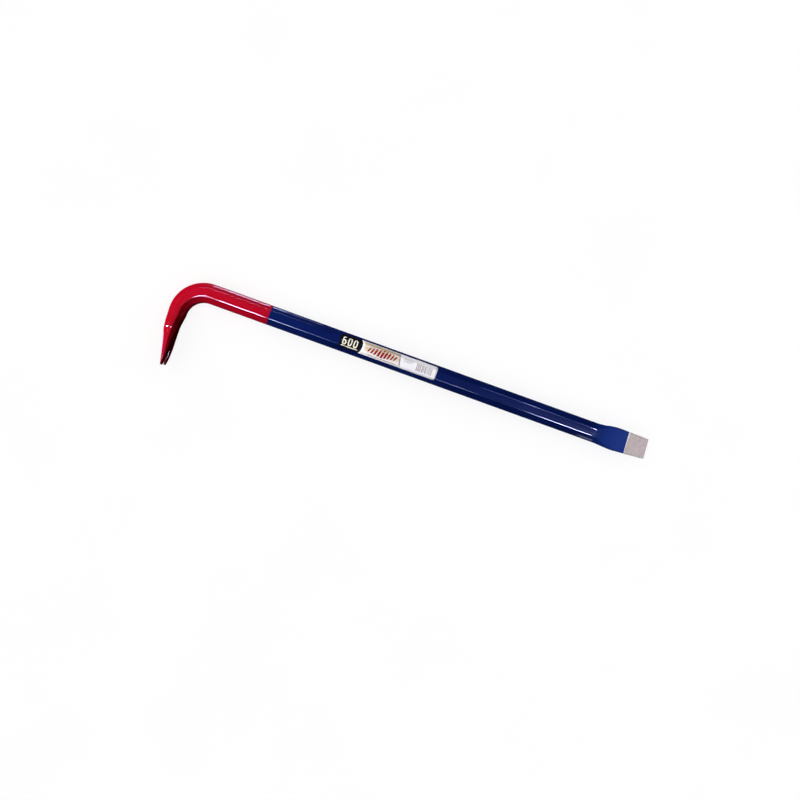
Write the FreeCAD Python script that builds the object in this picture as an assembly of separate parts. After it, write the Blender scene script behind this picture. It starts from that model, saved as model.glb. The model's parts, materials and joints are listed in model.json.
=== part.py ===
"""Forged octagonal pry bar, lying on its side as it rests on a floor. All lengths are in millimetres.

The bar is drawn in its own frame: x runs along the shank from the claw end to the blade, y lies across the
shank in the plane of the bend, with the claw on the -y side, and z is square to that plane. The finished
shapes are then rolled about the shank until the bar lies on its shank and on one side of the claw, and are
raised to stand on z = 0.
"""
import FreeCAD, Part
import math
import os

from FreeCAD import Vector

# Forging, measured over the paint. The claw's tips lie CLAW_DROP below the shank's axis.
LENGTH = 600.0
ACROSS_FLATS = 24.0
CLAW_DROP = 100.4
EDGE_RADIUS = 3.0
BEND_INNER_RADIUS = 22.0
BEND_THINNING = 3.0

# Chisel blade, whose broad faces lie in the plane of the bend.
BLADE_LENGTH = 68.0

# Nail slot between the two tines of the claw.
SLOT_DEPTH = 20.0
SLOT_MOUTH = 9.5
SLOT_ROOT_RADIUS = 1.5

# Paint coats and label films, placed by distance from the heel of the bend.
COAT = 0.25
FILM = 0.12
RED_END = 117.4
BARE_TIP = 26.0
LABEL_START = 207.3
LABEL_LENGTH = 123.0
LABEL_TOP = 9.6
LABEL_BOTTOM = -7.0
LABEL_CORNER = 2.5
BADGE_LENGTH = 28.4
BADGE_BULGE = 3.0

HALF = ACROSS_FLATS / 2
HEEL_X = -LENGTH / 2
TIP_X = LENGTH / 2
BEND_CENTRE = Vector(HEEL_X + ACROSS_FLATS - BEND_THINNING + BEND_INNER_RADIUS, -HALF - BEND_INNER_RADIUS, 0)
CORNER_SHARE = math.sqrt(2) - 1
BEVEL_SHRINK = 1 - CORNER_SHARE
BEVEL = HALF * BEVEL_SHRINK
OUT_OF_BEND = Vector(0, 0, 1)
ACROSS_SHANK = Vector(0, 1, 0)

# How far the blocks that cut the shapes reach past them.
REACH_PAST = 20.0

# Where sections stand along the end of the shank and round the bend.
BEND_LEADS = (8.0, 4.0)
BEND_ANGLES = (90, 100, 110, 120, 130, 140, 150, 160, 170)
BLADE_LEADS = (8.0, 4.0, 0.0)

# The claw by drop below the shank's axis: outer and inner face (both from the heel), width, the bevels on the
# outer and inner corners, and the radius of their edges.
CLAW_STATIONS = (
    (41.0, 0.4, 19.9, 24.1, 5.9, 5.9, 2.6),
    (47.5, 1.0, 18.8, 24.5, 5.0, 5.6, 2.2),
    (53.0, 2.2, 18.2, 25.8, 2.9, 5.3, 1.6),
    (58.5, 3.7, 17.8, 27.8, 1.7, 4.9, 1.0),
    (64.5, 5.5, 17.5, 29.8, 1.5, 4.4, 0.8),
    (71.0, 7.5, 17.3, 31.6, 1.3, 3.6, 0.6),
    (78.0, 9.5, 17.1, 32.7, 1.0, 2.6, 0.5),
    (85.0, 11.4, 16.7, 32.7, 0.7, 1.6, 0.3),
    (91.5, 13.0, 16.3, 31.6, 0.5, 0.8, 0.25),
    (96.5, 13.9, 15.9, 29.0, 0.4, 0.5, 0.2),
    (CLAW_DROP, 14.4, 15.6, 24.6, 0.3, 0.3, 0.12),
)

# The blade's shoulder by distance from its edge: rise of its axis, turn, width in the plane of the bend,
# thickness, bevel and edge radius. Straight faces run on from the last station to the edge.
SHOULDER_STATIONS = (
    (62.0, 0.1, 0.4, 24.3, 22.4, 6.0, 2.6),
    (56.0, 0.3, 1.2, 25.3, 19.7, 4.4, 2.0),
    (49.0, 0.7, 2.6, 27.2, 16.4, 2.6, 1.3),
    (42.0, 1.0, 3.8, 28.5, 13.6, 1.6, 0.8),
    (36.0, 1.2, 4.2, 28.3, 11.7, 1.2, 0.6),
    (30.0, 1.4, 4.2, 27.8, 9.9, 1.0, 0.5),
)
EDGE_STATION = (0.0, 2.3, 4.2, 25.1, 1.6, 0.3, 0.12)


def rounded_outline(corners, radius):
    """Closed wire through the corners, with every corner rounded to the radius."""
    edges = []
    previous_end = None
    first_start = None
    count = len(corners)
    for index, corner in enumerate(corners):
        arriving = (corner - corners[index - 1]).normalize()
        leaving = (corners[(index + 1) % count] - corner).normalize()
        half_turn = arriving.getAngle(leaving) / 2
        start = corner - arriving * radius * math.tan(half_turn)
        end = corner + leaving * radius * math.tan(half_turn)
        inward = (leaving - arriving).normalize()
        middle = corner + inward * radius * (1 / math.cos(half_turn) - 1)
        if previous_end is None:
            first_start = start
        else:
            edges.append(Part.LineSegment(previous_end, start).toShape())
        edges.append(Part.Arc(start, middle, end).toShape())
        previous_end = end
    edges.append(Part.LineSegment(previous_end, first_start).toShape())
    return Part.Wire(edges)


def section(centre, across, depth, width, bevels, radius, inset):
    """Bevelled section: depth along the vector across, width out of the bend, the surface moved in by inset.

    The first bevel cuts the two corners that across points to, and the second cuts the two others.
    """
    half_depth = depth / 2 - inset
    half_width = width / 2 - inset
    corners = []
    for side_depth, side_width in ((1, 1), (-1, 1), (-1, -1), (1, -1)):
        cut = bevels[0 if side_depth > 0 else 1] - BEVEL_SHRINK * inset
        on_width = (side_depth * (half_depth - cut), side_width * half_width)
        on_depth = (side_depth * half_depth, side_width * (half_width - cut))
        pair = (on_depth, on_width) if side_depth == side_width else (on_width, on_depth)
        corners += [centre + across * a + OUT_OF_BEND * b for a, b in pair]
    return rounded_outline(corners, max(radius - inset, radius / 2))


def octagon(centre, across, inset):
    """The plain section of the shank."""
    return section(centre, across, ACROSS_FLATS, ACROSS_FLATS, (BEVEL, BEVEL), EDGE_RADIUS, inset)


def along_bend(angle_deg, inset):
    """Section at an angle round the bend, from the shank at 90 degrees to the leg at 180, thinned outside."""
    angle = math.radians(angle_deg)
    across = Vector(math.cos(angle), math.sin(angle), 0)
    depth = ACROSS_FLATS - BEND_THINNING * (1 - math.sin(angle))
    centre = BEND_CENTRE + across * (BEND_INNER_RADIUS + depth / 2)
    bevel = BEVEL * (1 + depth / ACROSS_FLATS) / 2
    return section(centre, across, depth, ACROSS_FLATS, (bevel, bevel), EDGE_RADIUS, inset)


def claw_section(station, inset):
    """Section of the leg or claw, square to the y axis. The last one is also drawn in from the tips."""
    drop, outer, inner, width, outer_bevel, inner_bevel, radius = station
    if drop == CLAW_DROP:
        drop -= inset
    centre = Vector(HEEL_X + (outer + inner) / 2, -drop, 0)
    bevels = (outer_bevel, inner_bevel)
    return section(centre, Vector(-1, 0, 0), inner - outer, width, bevels, radius, inset)


def nail_slot(inset):
    """V-shaped slot with a round root, cut through the claw along x."""
    root = SLOT_ROOT_RADIUS + inset
    mouth = SLOT_MOUTH / 2 + inset
    run = SLOT_DEPTH - SLOT_ROOT_RADIUS
    half_angle = math.acos(root / math.hypot(run, mouth)) - math.atan2(run, mouth)
    flank_y = root * math.sin(half_angle)
    flank_z = root * math.cos(half_angle)
    centre_y = -CLAW_DROP + run
    past_y = -CLAW_DROP - REACH_PAST
    past_z = mouth + REACH_PAST * math.tan(half_angle)
    x = HEEL_X - REACH_PAST
    near = Vector(x, centre_y + flank_y, flank_z)
    far = Vector(x, centre_y + flank_y, -flank_z)
    root_arc = Part.Arc(near, Vector(x, centre_y + root, 0), far).toShape()
    flanks = Part.makePolygon([far, Vector(x, past_y, -past_z), Vector(x, past_y, past_z), near])
    through = Vector(ACROSS_FLATS + 2 * REACH_PAST, 0, 0)
    return Part.Face(Part.Wire([root_arc] + flanks.Edges)).extrude(through)


def claw_and_bend(inset):
    """From the end of the straight shank, round the bend and down to the tips of the claw."""
    sections = [octagon(BEND_CENTRE + Vector(lead, BEND_INNER_RADIUS + HALF, 0), Vector(0, 1, 0), inset)
                for lead in BEND_LEADS]
    sections += [along_bend(angle, inset) for angle in BEND_ANGLES]
    sections += [claw_section(station, inset) for station in CLAW_STATIONS]
    return Part.makeLoft(sections, True, False).cut(nail_slot(inset))


def blade_section(station, inset):
    """Section of the blade, turned a little from square to the shank."""
    from_edge, rise, turn_deg, width, thickness, bevel, radius = station
    turn = math.radians(turn_deg)
    across = Vector(-math.sin(turn), math.cos(turn), 0)
    centre = Vector(TIP_X - from_edge, rise, 0)
    return section(centre, across, width, thickness, (bevel, bevel), radius, inset)


def blade(inset):
    """From the end of the straight shank, over the flared shoulder, to the chisel edge."""
    root_x = TIP_X - BLADE_LENGTH
    sections = [octagon(Vector(root_x - lead, 0, 0), ACROSS_SHANK, inset) for lead in BLADE_LEADS]
    sections += [blade_section(station, inset) for station in SHOULDER_STATIONS]
    shoulder = Part.makeLoft(sections, True, False)
    wedge_ends = [blade_section(station, inset) for station in (SHOULDER_STATIONS[-1], EDGE_STATION)]
    return shoulder.fuse(Part.makeLoft(wedge_ends, True, True))


def shank(inset):
    """The straight octagonal bar between the bend and the blade."""
    start = BEND_CENTRE.x + BEND_LEADS[0]
    end = TIP_X - BLADE_LENGTH - BLADE_LEADS[0]
    outline = octagon(Vector(start, 0, 0), ACROSS_SHANK, inset)
    return Part.Face(outline).extrude(Vector(end - start, 0, 0))


def whole_bar(inset):
    """The forging with its whole surface moved in by the inset."""
    return shank(inset).fuse([claw_and_bend(inset), blade(inset)]).removeSplitter()


def stretch_of_bar(start, end):
    """Block round everything between two distances from the heel."""
    reach = CLAW_DROP + REACH_PAST
    return Part.makeBox(end - start, 2 * reach, 2 * reach, Vector(HEEL_X + start, -reach, -reach))


def bare_stretch():
    """Block over the bare tip. Its near face leans with the blade."""
    block = stretch_of_bar(LENGTH - BARE_TIP, LENGTH + REACH_PAST)
    turn_deg = EDGE_STATION[2]
    block.rotate(Vector(TIP_X - BARE_TIP, 0, 0), OUT_OF_BEND, turn_deg)
    return block


def label_ring():
    """Octagonal sleeve one film thick, over the label's stretch of the shank."""
    start = Vector(HEEL_X + LABEL_START, 0, 0)
    outside, inside = (Part.Face(octagon(start, ACROSS_SHANK, inset)).extrude(Vector(LABEL_LENGTH, 0, 0))
                       for inset in (-FILM, 0))
    return outside.cut(inside)


def badge_plan():
    """Block over the badge, with a straight left end and a bulging right end."""
    left = HEEL_X + LABEL_START
    right = left + BADGE_LENGTH - BADGE_BULGE
    low, high = LABEL_BOTTOM, LABEL_TOP
    straight = Part.makePolygon([Vector(right, high, 0), Vector(left, high, 0), Vector(left, low, 0),
                                 Vector(right, low, 0)])
    bulge = Part.Arc(Vector(right, low, 0), Vector(right + BADGE_BULGE, (low + high) / 2, 0),
                     Vector(right, high, 0)).toShape()
    return Part.Face(Part.Wire(straight.Edges + [bulge])).extrude(OUT_OF_BEND * ACROSS_FLATS)


def label_plan():
    """Block over the whole label, with round corners."""
    left, right = HEEL_X + LABEL_START, HEEL_X + LABEL_START + LABEL_LENGTH
    corners = [Vector(left, LABEL_BOTTOM, 0), Vector(right, LABEL_BOTTOM, 0), Vector(right, LABEL_TOP, 0),
               Vector(left, LABEL_TOP, 0)]
    return Part.Face(rounded_outline(corners, LABEL_CORNER)).extrude(OUT_OF_BEND * ACROSS_FLATS)


def pieces():
    """Every node by name, in the bar's own frame."""
    painted = whole_bar(0)
    steel = whole_bar(COAT)
    red_stretch = stretch_of_bar(-REACH_PAST, RED_END)
    blue_stretch = stretch_of_bar(RED_END, LENGTH).cut(bare_stretch())
    ring = label_ring().common(label_plan())
    return {
        "forged_bar": steel,
        "red_enamel": painted.common(red_stretch).cut(steel),
        "blue_enamel": painted.common(blue_stretch).cut(steel),
        "label_film": ring.cut(badge_plan()),
        "size_badge": ring.common(badge_plan()),
    }


def rest_roll():
    """Roll in radians that lifts the whole side of the claw level with the shank's lowest edge."""
    edge_centre = HALF - EDGE_RADIUS
    rolls = []
    for drop, _, _, width, _, _, _ in CLAW_STATIONS:
        over = width / 2 - edge_centre
        arm = drop + edge_centre * CORNER_SHARE
        rolls.append(math.acos(EDGE_RADIUS / math.hypot(over, arm)) - math.atan2(arm, over))
    return max(rolls)


def lay_down(shapes):
    """Roll the shapes to their rest, and put the bottom centre of their common box at the origin."""
    for shape in shapes:
        shape.rotate(Vector(0, 0, 0), Vector(1, 0, 0), -math.degrees(rest_roll()))
    box = Part.Compound(shapes).optimalBoundingBox(False, False)
    for shape in shapes:
        shape.translate(Vector(-box.Center.x, -box.Center.y, -box.ZMin))


nodes = pieces()
lay_down(list(nodes.values()))
os.makedirs("parts", exist_ok=True)
for name, shape in nodes.items():
    shape.exportStep("parts/" + name + ".step")
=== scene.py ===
import json
import math
import random
from collections import namedtuple

import bmesh
import bpy
from mathutils import Matrix, Vector, noise


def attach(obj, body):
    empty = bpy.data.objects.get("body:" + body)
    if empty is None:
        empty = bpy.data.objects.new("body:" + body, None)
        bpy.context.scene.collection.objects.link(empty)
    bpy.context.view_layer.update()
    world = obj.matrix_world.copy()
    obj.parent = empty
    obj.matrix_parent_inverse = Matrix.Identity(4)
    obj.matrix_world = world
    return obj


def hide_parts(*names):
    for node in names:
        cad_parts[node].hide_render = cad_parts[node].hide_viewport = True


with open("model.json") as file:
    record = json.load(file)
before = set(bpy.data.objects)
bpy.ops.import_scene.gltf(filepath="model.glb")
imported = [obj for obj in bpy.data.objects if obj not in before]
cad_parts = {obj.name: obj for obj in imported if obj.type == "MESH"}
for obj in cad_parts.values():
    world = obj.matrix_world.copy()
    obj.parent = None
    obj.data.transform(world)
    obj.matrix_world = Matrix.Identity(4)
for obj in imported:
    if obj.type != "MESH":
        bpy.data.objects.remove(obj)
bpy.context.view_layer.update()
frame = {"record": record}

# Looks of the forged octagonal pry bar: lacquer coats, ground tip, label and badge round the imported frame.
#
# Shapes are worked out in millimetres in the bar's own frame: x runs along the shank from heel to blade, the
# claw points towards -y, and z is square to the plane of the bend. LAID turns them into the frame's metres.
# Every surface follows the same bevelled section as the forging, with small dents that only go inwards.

# Driving dimensions of the forging, in millimetres.
LENGTH = 600.0
ACROSS_FLATS = 24.0
CLAW_DROP = 100.4
EDGE_RADIUS = 3.0
BEND_INNER_RADIUS = 22.0
BEND_THINNING = 3.0
BLADE_LENGTH = 68.0
SLOT_DEPTH = 20.0
SLOT_MOUTH = 9.5
SLOT_ROOT_RADIUS = 1.5
COAT = 0.25
RED_END = 117.4
BARE_TIP = 26.0
LABEL_START = 207.3
LABEL_LENGTH = 123.0
LABEL_TOP = 9.6
LABEL_BOTTOM = -7.0
LABEL_CORNER = 2.5
BADGE_LENGTH = 28.4
BADGE_BULGE = 3.0

# Metres to a millimetre, and a length in millimetres that is too small to see.
MM = 0.001
TINY = 0.001

HALF = ACROSS_FLATS / 2
HEEL_X = -LENGTH / 2
TIP_X = LENGTH / 2
RED_END_X = HEEL_X + RED_END
LABEL_X = HEEL_X + LABEL_START
CORNER_SHARE = math.sqrt(2) - 1
BEVEL_SHRINK = 1 - CORNER_SHARE
BEVEL = HALF * BEVEL_SHRINK
BEND_X = HEEL_X + ACROSS_FLATS - BEND_THINNING + BEND_INNER_RADIUS
BEND_Y = -HALF - BEND_INNER_RADIUS
LEG_DEPTH = ACROSS_FLATS - BEND_THINNING
LEG_BEVEL = BEVEL * (1 + LEG_DEPTH / ACROSS_FLATS) / 2
OUT_OF_BEND = Vector((0, 0, 1))

# Leg and claw by drop: outer and inner face from the heel, width, outer and inner bevel, edge radius.
CLAW_STATIONS = (
    (-BEND_Y, 0.0, LEG_DEPTH, ACROSS_FLATS, LEG_BEVEL, LEG_BEVEL, EDGE_RADIUS),
    (41.0, 0.4, 19.9, 24.1, 5.9, 5.9, 2.6),
    (47.5, 1.0, 18.8, 24.5, 5.0, 5.6, 2.2),
    (53.0, 2.2, 18.2, 25.8, 2.9, 5.3, 1.6),
    (58.5, 3.7, 17.8, 27.8, 1.7, 4.9, 1.0),
    (64.5, 5.5, 17.5, 29.8, 1.5, 4.4, 0.8),
    (71.0, 7.5, 17.3, 31.6, 1.3, 3.6, 0.6),
    (78.0, 9.5, 17.1, 32.7, 1.0, 2.6, 0.5),
    (85.0, 11.4, 16.7, 32.7, 0.7, 1.6, 0.3),
    (91.5, 13.0, 16.3, 31.6, 0.5, 0.8, 0.25),
    (96.5, 13.9, 15.9, 29.0, 0.4, 0.5, 0.2),
    (CLAW_DROP, 14.4, 15.6, 24.6, 0.3, 0.3, 0.12),
)

# Blade by distance past its root: rise of its axis, turn, width (in the bend's plane), thickness, bevel and
# edge radius.
BLADE_STATIONS = (
    (0.0, 0.0, 0.0, ACROSS_FLATS, ACROSS_FLATS, BEVEL, EDGE_RADIUS),
    (6.0, 0.1, 0.4, 24.3, 22.4, 6.0, 2.6),
    (12.0, 0.3, 1.2, 25.3, 19.7, 4.4, 2.0),
    (19.0, 0.7, 2.6, 27.2, 16.4, 2.6, 1.3),
    (26.0, 1.0, 3.8, 28.5, 13.6, 1.6, 0.8),
    (32.0, 1.2, 4.2, 28.3, 11.7, 1.2, 0.6),
    (38.0, 1.4, 4.2, 27.8, 9.9, 1.0, 0.5),
    (BLADE_LENGTH, 2.3, 4.2, 25.1, 1.6, 0.3, 0.12),
)
WEDGE_START = BLADE_STATIONS[-2][0]

# How finely the sections are drawn.
ARC_STEPS = 5
FACE_STEPS = {"depth": 8, "width": 8, "bevel": 6}
FACE_ORDER = ("bevel", "width", "bevel", "depth", "bevel", "width", "bevel", "depth")
SHANK_STEP = 3.0
BEND_STEP_DEG = 2.5
CLAW_STEP = 1.3
ROOT_STEPS = 6
BLADE_STEP = 1.3
SLOT_SOFTENING = 0.45
TIP_ROUND = ((0.0, 0.2), (0.12, 0.08), (0.4, 0.0))
FILM_ROW = 0.7
FILM_CORNER_STEPS = 6
LABEL_COLUMNS = 40
BADGE_COLUMNS = 14
RULE_COLUMNS = 12
SLAB_ROW = 0.8
SLAB_COLUMN = 3.0
ZERO_STEPS = 40
SIX_BOWL_STEPS = 32
SIX_BACK_STEPS = 16

# Layers, as distances in from the outer surface of the paint. Negative ones stand proud of it.
RED_SKIN = 0.0
BLUE_SKIN = 0.05
COAT_BACK = COAT - 0.02
FILM_TOP = -0.08
FILM_BACK = 0.06
PRINT_TOP = -0.1
PRINT_BACK = -0.06

# Unevenness of a forged and dipped surface: long dents, faces that are hollow unless their corners are sharp,
# and the mark that is left across the claw's root.
WAVE_DEPTH = 0.06
WAVE_LENGTH = 30.0
WAVE_GIRTH = 11.0
HOLLOW_DEPTH = 0.11
SHARP_RADIUS = 1.0
MARK_DEPTH = 0.2
MARK_LENGTH = 1.1
MARK_DROP = 52.6

# Rim of a coat by distance back from its end: how far it draws in there, on its front and on its back. The
# end is a ragged line.
RIM_RUN = 0.5
RIM_FRONT = ((RIM_RUN, 0.0), (0.14, 0.03), (0.0, 0.12))
RIM_BACK = ((RIM_RUN, 0.0), (0.0, 0.0))
PAINT_LINE_RAGGED = 0.25
PAINT_LINE_GRAIN = 2.6

# The badge's numerals and rule. Starts and ends along the label are measured from its left end.
NUMERALS_START = 3.2
NUMERAL_BASE = -3.2
NUMERAL_HEIGHT = 10.4
NUMERAL_WIDTH = 5.3
NUMERAL_PITCH = 7.0
NUMERAL_PEN = 1.55
OVAL_SQUARENESS = 0.8
SIX_BOWL_SHARE = 0.56
SIX_BACK_END_DEG = 62
RULE_START = 3.0
RULE_END = 24.0
RULE_DROP = 1.3
RULE_HALF = 0.55

# The label's prints: starts and ends along it, and lower and upper edges by y.
TAN_START, TAN_END = 30.5, 76.5
TAN_BOTTOM = -4.5
TAN_FULL = 2.5
TAN_MARGIN = 0.9
TAN_SLANT = -3.0
TAN_RISE = 0.008
MOTIF_START = 36.5
MOTIF_BOTTOM, MOTIF_TOP = -3.6, 6.4
MOTIF_BARS = 9
MOTIF_PITCH = 4.1
MOTIF_BAR = 3.0
MOTIF_BAR_LOSS = 1.0
MOTIF_HEIGHT_LOSS = 0.45
MOTIF_SLANT = 2.6
MOTIF_LINE_START, MOTIF_LINE_END = 37.5, 73.0
MOTIF_LINE_HALF = 0.22
MOTIF_LINE_BELOW, MOTIF_LINE_ABOVE = 1.4, 1.2
DASH_START, DASH_END = 80.0, 93.5
DASH_END_RAGGED = 4.0
DASH_SHORTEST = 0.9
DASH_LONGER = 2.2
DASH_ROWS = 4
DASH_TOP = 5.9
DASH_PITCH = 1.25
DASH_GAP = 0.55
DASH_HALF = 0.25
STRIPE_START, STRIPE_END = 97.5, 116.5
STRIPE_BOTTOM, STRIPE_TOP = -3.4, 5.2
STRIPE_WIDTHS = (0.35, 0.35, 0.7, 1.05)
STRIPE_GAPS = (0.4, 0.6, 0.9)

# Where colours change: the blade's lacquer by x past its root, the painted shade inside the leg and claw by
# depth past the heel and by y, and the steel's near-white band of bared steel and painted highlight by x past
# the paint line.
BLADE_TONE = (-4.0, 16.0)
INSIDE_SHADE_DEPTH = (-3.0, 4.0)
INSIDE_SHADE_Y = (-20.0, -45.0)
FRESH_STEEL_AND_GLINT = (0.5, 1.6)

# Camera and floor. The camera's place is in millimetres in the bar's frame, the floor's sizes are in metres.
CAMERA_PLACE = (-0.3, -42.9, 1210.9)
CAMERA_ROLL_DEG = 19.89
LENS = 45.0
FLOOR_HALF = 4.0
FLOOR_GAP = 0.0002

# One section of the bar: its place, the direction of its depth, its sizes, half the nail slot's width, how
# far it is drawn in and how far a ragged line may wander.
Station = namedtuple("Station", "centre across depth width bevels radius slot_half trim ragged")


def lay_matrix():
    """From the bar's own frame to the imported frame, read off the mount's flat face."""
    mount = frame["record"]["mounts"][0]
    up = -Vector(mount["axis"]).normalized()
    along = Vector((1, 0, 0))
    origin = Vector(mount["pos_m"]) + up * HALF * MM
    turn = Matrix((along, up.cross(along), up)).transposed().to_4x4()
    return Matrix.Translation(origin) @ turn @ Matrix.Scale(MM, 4)


LAID = lay_matrix()


# Groups of objects that a lamp can be kept to. A piece is on the blue side unless its slot says otherwise.
GROUPS = ("bar_only", "steel_only", "floor_only", "red_side", "blue_side")
BAR_ONLY, STEEL_ONLY, FLOOR_ONLY, RED_SIDE, BLUE_SIDE = (bpy.data.collections.new(name) for name in GROUPS)
GROUP_OF_SLOT = {"red_lacquer": RED_SIDE, "forged_steel": STEEL_ONLY}


# Sections of the forging

def curve_through(table, at, end_slopes):
    """Row of the table at a key, on cubic curves through its rows. It leaves the first row level."""
    keys = [row[0] for row in table]
    index = max(i for i in range(len(keys) - 1) if i == 0 or keys[i] <= at)
    span = keys[index + 1] - keys[index]
    t = (at - keys[index]) / span

    def slope(row, column):
        if row == 0:
            return 0.0
        if row == len(table) - 1:
            return end_slopes[column]
        return (table[row + 1][column] - table[row - 1][column]) / (keys[row + 1] - keys[row - 1])

    values = []
    for column in range(1, len(table[0])):
        a, b = table[index][column], table[index + 1][column]
        from_a, to_b = slope(index, column) * span, slope(index + 1, column) * span
        values.append(a + t * t * (3 - 2 * t) * (b - a) + t * (1 - t) ** 2 * from_a - t * t * (1 - t) * to_b)
    return values


def last_slopes(table):
    """Slope of each column between the table's last two rows."""
    span = table[-1][0] - table[-2][0]
    return [(b - a) / span for a, b in zip(table[-2], table[-1])]


CLAW_SLOPES = last_slopes(CLAW_STATIONS)
WEDGE_SLOPES = last_slopes(BLADE_STATIONS)


def slot_half_at(drop, inset):
    """Half the nail slot's width at a drop: a round root, then straight flanks."""
    root = SLOT_ROOT_RADIUS + inset
    mouth = SLOT_MOUTH / 2 + inset
    run = SLOT_DEPTH - SLOT_ROOT_RADIUS
    lean = math.acos(root / math.hypot(run, mouth)) - math.atan2(run, mouth)
    past = drop - (CLAW_DROP - run)
    if past < -root * math.sin(lean):
        return math.sqrt(max(root * root - past * past, 0))
    return (root + past * math.sin(lean)) / math.cos(lean)


def claw_station(drop, inset, trim=0.0):
    """Section of the leg or claw, square to the y axis."""
    outer, inner, width, outer_bevel, inner_bevel, radius = curve_through(CLAW_STATIONS, drop, CLAW_SLOPES)
    slot = slot_half_at(drop, inset) if drop > root_top(inset) else 0.0
    y = -min(drop, CLAW_DROP - inset)
    centre = Vector((HEEL_X + (outer + inner) / 2, y, 0))
    return Station(centre, Vector((-1, 0, 0)), inner - outer, width, (outer_bevel, inner_bevel), radius, slot,
                   trim, 0.0)


def root_top(inset):
    """Drop at which the nail slot begins."""
    return CLAW_DROP - SLOT_DEPTH - inset + TINY


def bend_station(angle_deg):
    """Section at an angle round the bend, from the leg at 180 degrees to the shank at 90, thinned outside."""
    angle = math.radians(angle_deg)
    across = Vector((math.cos(angle), math.sin(angle), 0))
    depth = ACROSS_FLATS - BEND_THINNING * (1 - math.sin(angle))
    centre = Vector((BEND_X, BEND_Y, 0)) + across * (BEND_INNER_RADIUS + depth / 2)
    bevel = BEVEL * (1 + depth / ACROSS_FLATS) / 2
    return Station(centre, across, depth, ACROSS_FLATS, (bevel, bevel), EDGE_RADIUS, 0.0, 0.0, 0.0)


def shank_station(x, trim=0.0, ragged=0.0):
    """Section of the straight shank."""
    centre = Vector((x, 0, 0))
    across = Vector((0, 1, 0))
    return Station(centre, across, ACROSS_FLATS, ACROSS_FLATS, (BEVEL, BEVEL), EDGE_RADIUS, 0.0, trim, ragged)


def blade_station(past_root, inset=0.0, trim=0.0, ragged=0.0):
    """Section of the blade's shoulder or wedge, turned a little from square to the shank."""
    if past_root > WEDGE_START:
        share = (past_root - WEDGE_START) / (BLADE_LENGTH - WEDGE_START)
        values = [a + (b - a) * share for a, b in zip(BLADE_STATIONS[-2][1:], BLADE_STATIONS[-1][1:])]
    else:
        values = curve_through(BLADE_STATIONS[:-1], past_root, WEDGE_SLOPES)
    rise, turn_deg, width, thickness, bevel, radius = values
    turn = math.radians(turn_deg)
    across = Vector((-math.sin(turn), math.cos(turn), 0))
    x = TIP_X - BLADE_LENGTH + min(past_root, BLADE_LENGTH - inset)
    return Station(Vector((x, rise, 0)), across, width, thickness, (bevel, bevel), radius, 0.0, trim, ragged)


def in_steps(start, end, count):
    """Values from start to end, both included, in so many steps."""
    return [start + (end - start) * i / count for i in range(count + 1)]


def spaced(start, end, step):
    """Even values from start to end, both included, about a step apart."""
    return in_steps(start, end, max(1, round(abs(end - start) / step)))


def claw_run(inset):
    """Stations from the claw's tips up the leg, close together at the tips and round the slot's root."""
    tip = CLAW_DROP - inset
    stations = [claw_station(tip - back, inset, trim) for back, trim in TIP_ROUND]
    root = SLOT_ROOT_RADIUS + inset
    root_centre = CLAW_DROP - SLOT_DEPTH + SLOT_ROOT_RADIUS
    drops = spaced(tip - TIP_ROUND[-1][0], root_centre, CLAW_STEP)[1:]
    drops += [root_centre - root * math.sin(math.pi / 2 * i / ROOT_STEPS) for i in range(1, ROOT_STEPS + 1)]
    drops += spaced(drops[-1], -BEND_Y, CLAW_STEP)[1:-1]
    return stations + [claw_station(drop, inset) for drop in drops]


def bend_run():
    """Stations round the bend, from the leg to the shank."""
    return [bend_station(angle) for angle in spaced(180, 90, BEND_STEP_DEG)]


def shank_run(start, end):
    """Stations along the straight shank."""
    return [shank_station(x) for x in spaced(start, end, SHANK_STEP)]


def blade_run(start, end, inset=0.0):
    """Stations along the blade, by distance past its root."""
    return [blade_station(past, inset) for past in spaced(start, end, BLADE_STEP)]


# Points of one section

def between(start, end, steps, hollow=0.0):
    """Points strictly between two corners of a section, on a face that may be slightly hollow."""
    inward = Vector((start.y - end.y, end.x - start.x)).normalized()
    points = []
    for i in range(1, steps):
        share = i / steps
        points.append(start.lerp(end, share) + inward * hollow * 4 * share * (1 - share))
    return points


def across_slot(start, end, slot_half, hollow):
    """Points across a face that the slot may open. The middle one stands on the slot's -width edge."""
    steps = FACE_STEPS["depth"]
    if slot_half == 0:
        return between(start, end, steps, hollow)
    near_edge = Vector((start.x, math.copysign(slot_half, start.y)))
    far_edge = Vector((end.x, math.copysign(slot_half, end.y)))
    middle = Vector((start.x, -slot_half))
    return between(start, near_edge, steps // 2) + [middle] + between(far_edge, end, steps // 2)


def rounded(before, corner, after, radius):
    """Points along the round of a section's corner."""
    arriving, leaving = (corner - before).normalized(), (after - corner).normalized()
    turn = math.acos(max(-1.0, min(1.0, arriving.dot(leaving))))
    inward = Vector((-arriving.y, arriving.x))
    middle = corner - arriving * radius * math.tan(turn / 2) + inward * radius
    heading = math.atan2(-inward.y, -inward.x)
    angles = [heading + turn * i / ARC_STEPS for i in range(ARC_STEPS + 1)]
    return [middle + Vector((math.cos(a), math.sin(a))) * radius for a in angles]


def section_corners(depth, width, bevels, inset):
    """The eight corners of a bevelled section as (along depth, along width), anticlockwise."""
    half_depth, half_width = depth / 2 - inset, width / 2 - inset
    corners = []
    for side_depth, side_width in ((1, 1), (-1, 1), (-1, -1), (1, -1)):
        cut = bevels[0 if side_depth > 0 else 1] - BEVEL_SHRINK * inset
        on_width = Vector((side_depth * (half_depth - cut), side_width * half_width))
        on_depth = Vector((side_depth * half_depth, side_width * (half_width - cut)))
        corners += (on_depth, on_width) if side_depth == side_width else (on_width, on_depth)
    return corners


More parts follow.
